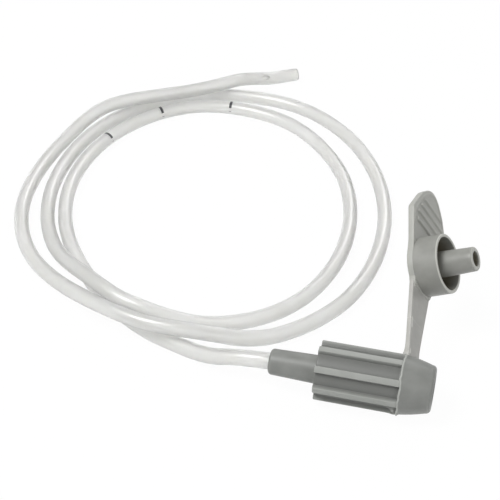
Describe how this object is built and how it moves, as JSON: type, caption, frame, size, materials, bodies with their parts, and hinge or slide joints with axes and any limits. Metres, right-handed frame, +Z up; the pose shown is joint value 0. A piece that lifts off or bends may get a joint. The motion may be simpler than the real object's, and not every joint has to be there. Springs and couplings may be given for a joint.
{
  "type": "nasogastric tube",
  "caption": "Loosely coiled infant feeding tube with a ribbed grey funnel connector, a tethered cap with a hollow plug, and an open tip.",
  "frame": {"origin": "on the floor, below the middle of the box of the connector, strap and cap", "axes": "+X along the connector's axis towards its mouth, +Y towards the cap and the coil's far side, +Z up"},
  "size_m": [0.0888, 0.0986, 0.0196],
  "materials": {
    "connector_plastic": "semi-matte moulded",
    "strap_plastic": "semi-matte moulded",
    "cap_plastic": "semi-matte moulded",
    "tube_plastic": "frosted translucent"
  },
  "bodies": {
    "connector": {"connector_body": "connector_plastic", "tube": "tube_plastic"},
    "strap": {"strap": "strap_plastic"},
    "cap": {"cap": "cap_plastic"}
  },
  "joints": [
    {"name": "strap_root_bend", "type": "hinge", "parent": "connector", "child": "strap", "pos_m": [0.00651, -0.01011, 0.00655], "axis": [0.2118, 0.4924, -0.8442], "range_deg": [0, 96.49], "stiffness_Nm_per_rad": 0.004},
    {"name": "cap_bend", "type": "hinge", "parent": "strap", "child": "cap", "pos_m": [0.00584, 0.00011, 0.00966], "axis": [-0.4469, -0.2871, 0.8473], "range_deg": [-90, 0], "stiffness_Nm_per_rad": 0.004}
  ]
}
